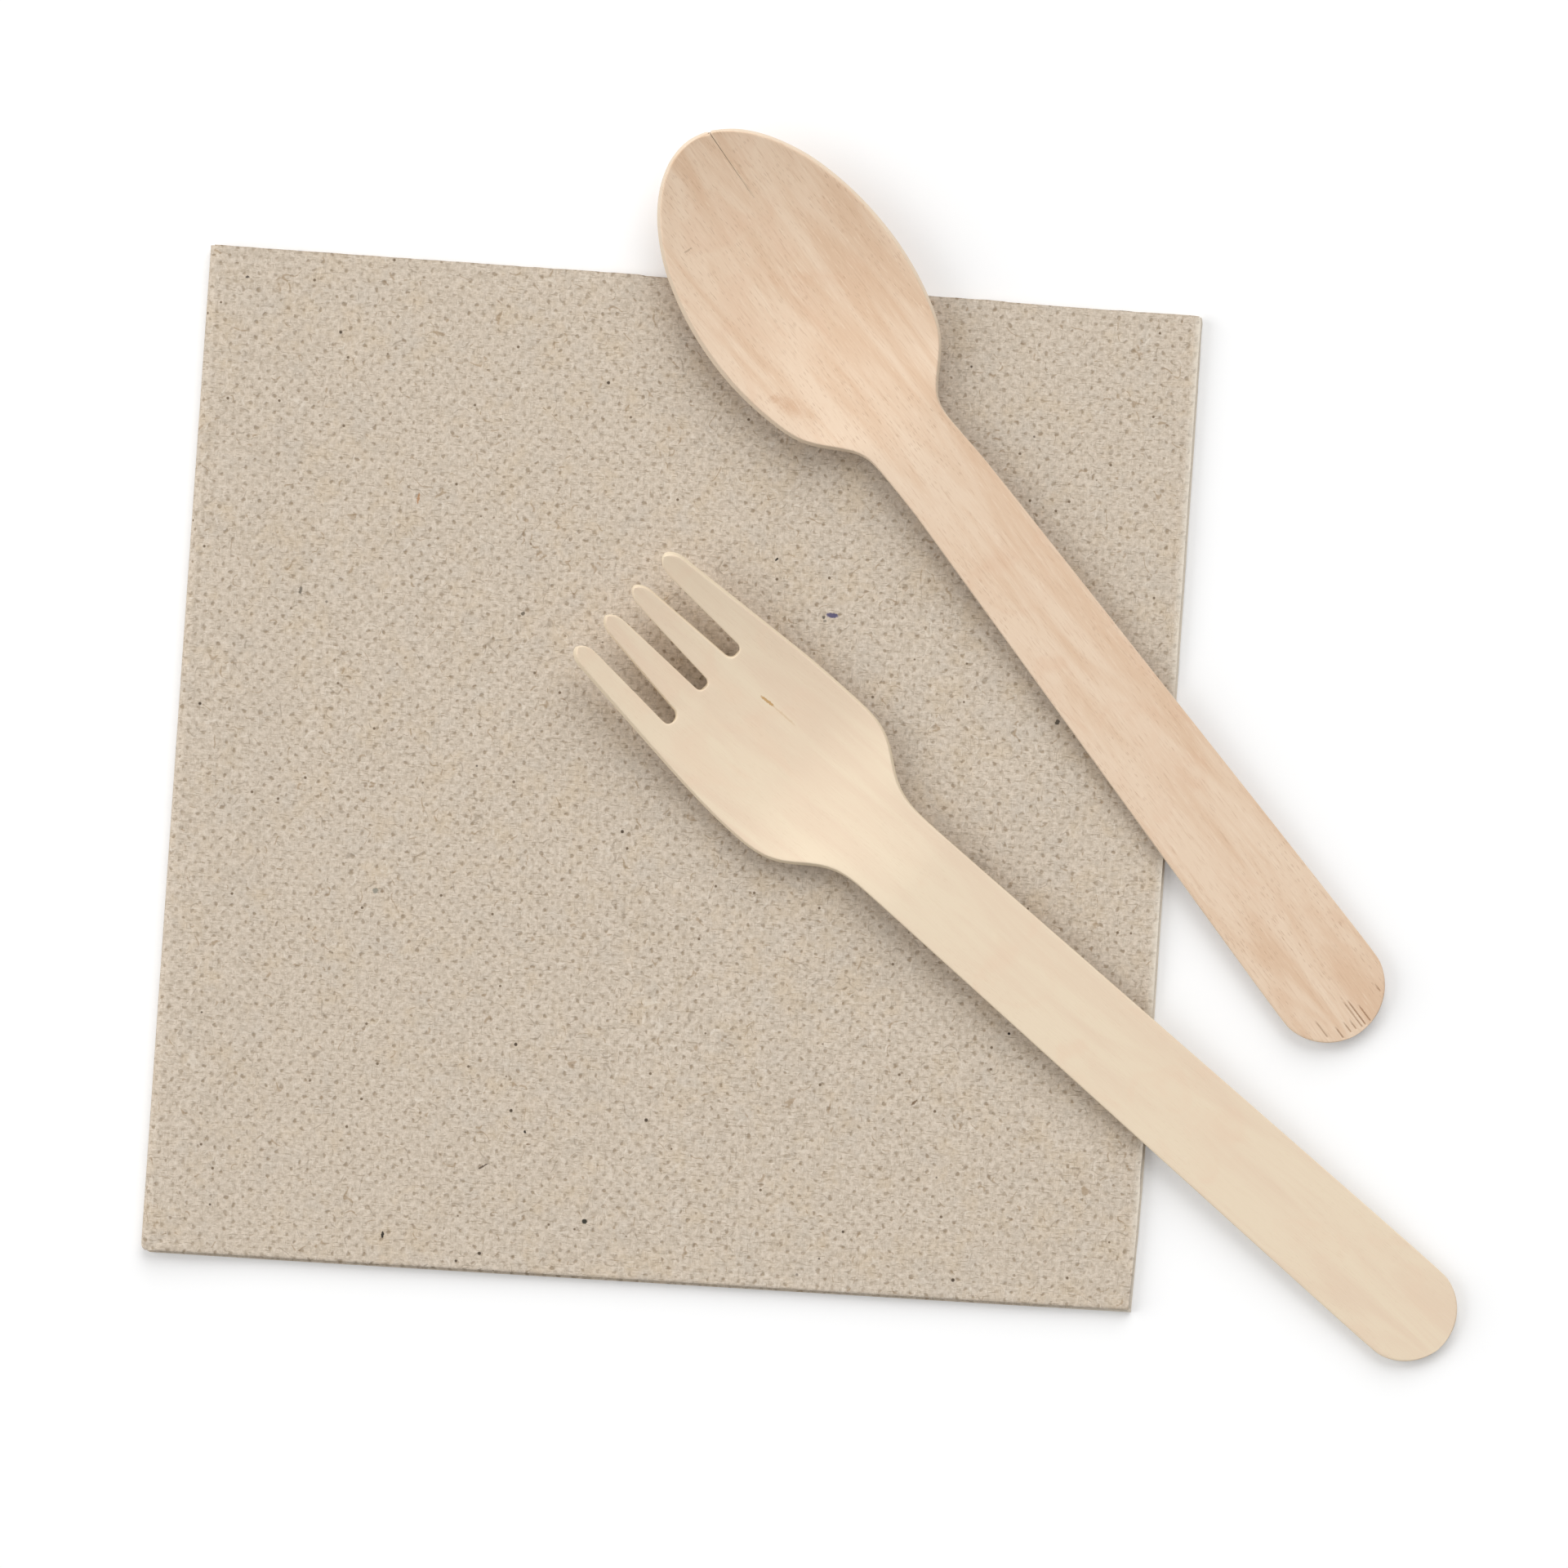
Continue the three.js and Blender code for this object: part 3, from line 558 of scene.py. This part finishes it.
def birch_group():
    """Rotary-cut birch with X along the grain: broad figure, curl across it, fibres and fine short pores."""
    made, given, wanted = group("birch_grain", [("Place", "NodeSocketVector")], [
        ("Figure", "NodeSocketFloat"), ("Curl", "NodeSocketFloat"), ("Fibre", "NodeSocketFloat"),
        ("Pores", "NodeSocketFloat"), ("Relief", "NodeSocketFloat"),
    ])

    def grain(stretch, detail, warp=0.0, rough=0.5):
        laid = node(made, "ShaderNodeVectorMath", {0: given["Place"], 1: stretch}, operation="MULTIPLY")
        return node(made, "ShaderNodeTexNoise", {
            "Vector": laid.outputs[0], "Scale": 1.0, "Detail": detail, "Roughness": rough, "Distortion": warp,
        }).outputs["Fac"]

    def pits(stretch, rarity, size):
        laid = node(made, "ShaderNodeVectorMath", {0: given["Place"], 1: stretch}, operation="MULTIPLY")
        cells = node(made, "ShaderNodeTexVoronoi", {
            "Vector": laid.outputs[0], "Scale": 1.0, "Randomness": 1.0,
        })
        picked = node(made, "ShaderNodeSeparateColor", {"Color": cells.outputs["Color"]})
        rare = masked(made, picked.outputs["Red"], rarity, rarity + 0.08)
        small = masked(made, cells.outputs["Distance"], size, size * 0.5)
        return product(made, rare, small)

    figure = grain((26, 190, 60), 3.0, 1.4)
    curl = grain((110, 150, 80), 2.0, 1.0)
    fibre = grain((330, 4200, 400), 3.0, 0.4, 0.65)
    pores = node(made, "ShaderNodeMath", {
        0: pits((900, 6500, 600), 0.72, 0.42), 1: pits((480, 4200, 500), 0.86, 0.34),
    }, operation="MAXIMUM").outputs[0]
    crowd = masked(made, grain((60, 240, 60), 2.0), 0.36, 0.6)
    pores = product(made, pores, crowd)
    relief = node(made, "ShaderNodeMath", {0: fibre, 1: pores}, operation="SUBTRACT").outputs[0]
    made.links.new(figure, wanted["Figure"])
    made.links.new(curl, wanted["Curl"])
    made.links.new(fibre, wanted["Fibre"])
    made.links.new(pores, wanted["Pores"])
    made.links.new(relief, wanted["Relief"])
    return made


birch = birch_group()


def birch_finish(name, tip, heading, shades, amounts, marks, blotches):
    """Sanded, unvarnished birch. tip and heading say how the utensil lies, so that the grain follows it,
    and shades and amounts give the colour and the strength of each thing that shows in the wood."""
    finish = bpy.data.materials.new(name)
    finish.use_nodes = True
    tree = finish.node_tree
    shader = tree.nodes["Principled BSDF"]
    place = node(tree, "ShaderNodeTexCoord").outputs["Object"]
    shifted = node(tree, "ShaderNodeVectorMath", {
        0: place, 1: (tip[0] / 1000, tip[1] / 1000, 0),
    }, operation="SUBTRACT")
    along = node(tree, "ShaderNodeVectorRotate", {
        "Vector": shifted.outputs[0], "Angle": math.radians(-heading),
    }, rotation_type="Z_AXIS").outputs[0]
    grain = node(tree, "ShaderNodeGroup", {"Place": along}, node_tree=birch).outputs
    figure = masked(tree, grain["Figure"], 0.32, 0.66)
    colour = node(tree, "ShaderNodeMix", {"Factor": figure}, data_type="RGBA")
    colour.inputs["A"].default_value = linear(*shades["dark"])
    colour.inputs["B"].default_value = linear(*shades["pale"])
    colour = colour.outputs["Result"]
    flush = masked(tree, grain["Curl"], 0.52, 0.72, amounts["curl"])
    colour = tinted(tree, colour, flush, shades["flush"])
    colour = flecked(tree, along, colour, blotches, 0.0012, 0.05)
    light = masked(tree, grain["Fibre"], 0.54, 0.74, amounts["fibre"])
    colour = tinted(tree, colour, light, shades["light"])
    deep = masked(tree, grain["Fibre"], 0.46, 0.26, amounts["fibre"])
    colour = tinted(tree, colour, deep, shades["deep"])
    colour = tinted(tree, colour, product(tree, grain["Pores"], amounts["pores"]), shades["pore"])
    colour = flecked(tree, along, colour, marks, 0.0003)
    rim = node(tree, "ShaderNodeAttribute", attribute_name="cut_edge").outputs["Fac"]
    colour = tinted(tree, colour, product(tree, rim, amounts["rim"]), shades["rim"])
    # Painted shade: where the tear value is set, in the spoon's split and its end grooves, the wood is laid
    # dark brown, as the shade inside them.
    tear = node(tree, "ShaderNodeAttribute", attribute_name="tear").outputs["Fac"]
    colour = tinted(tree, colour, tear, shades["tear"])
    tree.links.new(colour, shader.inputs["Base Color"])
    shader.inputs["Roughness"].default_value = 0.6
    shader.inputs["Specular IOR Level"].default_value = 0.22
    raised = node(tree, "ShaderNodeBump", {
        "Height": grain["Relief"], "Strength": 0.3, "Distance": 0.00004,
    })
    tree.links.new(raised.outputs[0], shader.inputs["Normal"])
    return finish


spoon_tip, spoon_heading = (-4.09, 94.19), -48.76
spoon_way = Vector((math.cos(math.radians(spoon_heading)), math.sin(math.radians(spoon_heading)), 0))
spoon_side = Vector((-spoon_way.y, spoon_way.x, 0))
split_start, split_end = (0.0, 3.4), (12.8, 3.1)
split_reach, wall_reach = 0.8, 0.6
open_share, closed_lip, underside_shift = 0.4, 0.01, 0.12
fold_reach, unfolding = 2.0, 0.00025


def on_spoon(point):
    """How far a point is along the spoon from its tip, and beside its middle line, in millimetres."""
    turn = math.radians(spoon_heading)
    x, y = point.x * 1000 - spoon_tip[0], point.y * 1000 - spoon_tip[1]
    return x * math.cos(turn) + y * math.sin(turn), -x * math.sin(turn) + y * math.cos(turn)


def beside_split(point):
    """How far a point is to the side of the split, in millimetres, or far beyond it past the split's end."""
    along, across = on_spoon(point)
    share = (along - split_start[0]) / (split_end[0] - split_start[0])
    return across - split_start[1] - share * (split_end[1] - split_start[1]) if share < 1.08 else 99.0


def tear_split(shape):
    """Closes the split at the underside and narrows it above, as a crack in dry veneer that hasn't come
    apart, each pair of lips about its own middle line. At the mouth the solid's underside is folded a
    little over its rim, and is laid straight again. It gives the edges of the lips."""
    shape.normal_update()
    lips = set()
    for edge in shape.edges:
        one, other = (v.co for v in edge.verts)
        (near, left), (far, right) = on_spoon(one), on_spoon(other)
        beside = abs(beside_split((one + other) / 2)) < split_reach
        lengthwise = abs(far - near) > max(2 * abs(right - left), 1000 * abs(one.z - other.z))
        if edge.calc_face_angle(0) > sharp_angle and beside and lengthwise:
            lips.add(edge)
    ends = {v for edge in lips for v in edge.verts}
    for upper in (True, False):
        lip = [v for v in ends if (v.normal.z > 0) == upper]
        places = np.array([on_spoon(v.co) for v in lip])
        middles = np.polyval(np.polyfit(places[:, 0], places[:, 1], 2), places[:, 0])
        for v, (along, across), middle in zip(lip, places, middles):
            off = across - middle
            wanted = open_share * off
            if not upper:
                wanted = underside_shift * (1 - along / split_end[0]) + math.copysign(closed_lip, off)
            v.co += spoon_side * float(wanted - off) / 1000
    folded = [v for v in shape.verts if on_spoon(v.co)[0] < fold_reach
              and sum(edge.calc_face_angle(0) > folded_angle for edge in v.link_edges) > 1]
    for v in folded:
        v.co += spoon_way * unfolding
    return lips


groove_patch = 158.2, -6.2, 6.8
groove_half_width, groove_start, groove_stop, groove_painted_shade = 0.13, 0.8, 0.3, 0.45
# Each as its start, end and side on the spoon and its depth, in millimetres.
end_grooves = [
    (160.0, 161.6, 5.5, 0.12), (161.0, 164.2, 1.7, 0.16), (159.5, 164.2, 0.8, 0.2),
    (159.2, 164.2, 0.2, 0.14), (162.0, 163.9, -0.7, 0.14), (161.7, 163.8, -1.6, 0.16),
    (161.5, 163.8, -3.0, 0.18), (159.0, 162.3, -4.8, 0.12),
]


def groove_end(piece):
    """Cuts the short tears into the end of the handle, where the die has lifted the fibres, and marks
    them and the walls of the split as torn, to be laid dark brown: painted shade in the grooves and the
    crack."""
    bpy.ops.object.mode_set(mode="EDIT")
    bpy.ops.mesh.select_mode(type="FACE")
    bpy.ops.mesh.select_all(action="DESELECT")
    shape = bmesh.from_edit_mesh(piece.data)
    for face in shape.faces:
        along, across = on_spoon(face.calc_center_median())
        inside = along > groove_patch[0] and groove_patch[1] < across < groove_patch[2]
        face.select_set(inside and face.normal.z > 0.3)
    bmesh.update_edit_mesh(piece.data)
    bpy.ops.mesh.subdivide(number_cuts=3)
    bpy.ops.object.mode_set(mode="OBJECT")
    tear = piece.data.attributes.new("tear", "FLOAT", "POINT")
    normals = [v.normal.copy() for v in piece.data.vertices]
    torn = []
    for v, normal in zip(piece.data.vertices, normals):
        along, across = on_spoon(v.co)
        share = 0.0
        if normal.z > 0.3:
            for start, end, side, depth in end_grooves:
                off = abs(across - side) / groove_half_width
                if start < along < end and off < 1:
                    ends = min(1, (along - start) / groove_start, (end - along) / groove_stop)
                    cut = (1 - off * off) * ends
                    v.co.z -= depth / 1000 * cut
                    share = max(share, cut * groove_painted_shade)
        wall = abs(beside_split(v.co)) < wall_reach and abs(normal.dot(spoon_side)) > 0.8
        torn.append(1.0 if wall else share)
    tear.data.foreach_set("value", torn)


spoon = veneer_piece("spoon_veneer", "spoon", worn_round, tear_split)
groove_end(spoon)
spoon.data.materials.append(birch_finish(
    "pink_birch", spoon_tip, spoon_heading,
    shades={
        "dark": (221, 190, 161), "pale": (232, 208, 183), "flush": (222, 186, 157), "light": (240, 219, 196),
        # tear is painted shade: the dark brown in the split and the end grooves.
        "deep": (202, 169, 140), "pore": (182, 147, 118), "rim": (228, 212, 190), "tear": (132, 98, 70),
    },
    amounts={"curl": 0.3, "fibre": 0.5, "pores": 0.42, "rim": 0.75},
    marks=[(12.9, -9.8, 86, 1.5, 0.3, (176, 150, 126), 0.6)],
    blotches=[
        (40.3, -11.6, 20, 6.0, 3.4, (205, 164, 130), 0.6), (38.0, -12.8, 60, 2.4, 1.6, (200, 160, 128), 0.5),
        (43.0, -10.2, 0, 3.0, 2.2, (206, 168, 134), 0.4),
    ],
))
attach(spoon, "root")
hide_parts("spoon")


# The fork: the same kind of veneer from a paler, smoother sheet, with three slots cut for the
# tines, and a head that is pressed into a shallow curve so that the tines rise.

fork_tip, fork_heading = (-10.16, 25.19), -37.63
fork = veneer_piece("fork_veneer", "fork", worn_round)
fork.data.materials.append(birch_finish(
    "pale_birch", fork_tip, fork_heading,
    shades={
        "dark": (231, 209, 184), "pale": (235, 217, 191), "flush": (233, 206, 180), "light": (240, 224, 200),
        # tear is painted shade for a split, as in the spoon.
        "deep": (224, 200, 172), "pore": (214, 188, 158), "rim": (234, 220, 194), "tear": (170, 140, 108),
    },
    amounts={"curl": 0.4, "fibre": 0.22, "pores": 0.14, "rim": 0.7},
    marks=[
        (26.2, 4.5, 3, 2.8, 0.45, (192, 150, 92), 0.85), (29.5, 4.55, 0, 4.5, 0.3, (210, 180, 140), 0.45),
    ],
    blotches=[],
))
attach(fork, "root")
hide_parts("fork")
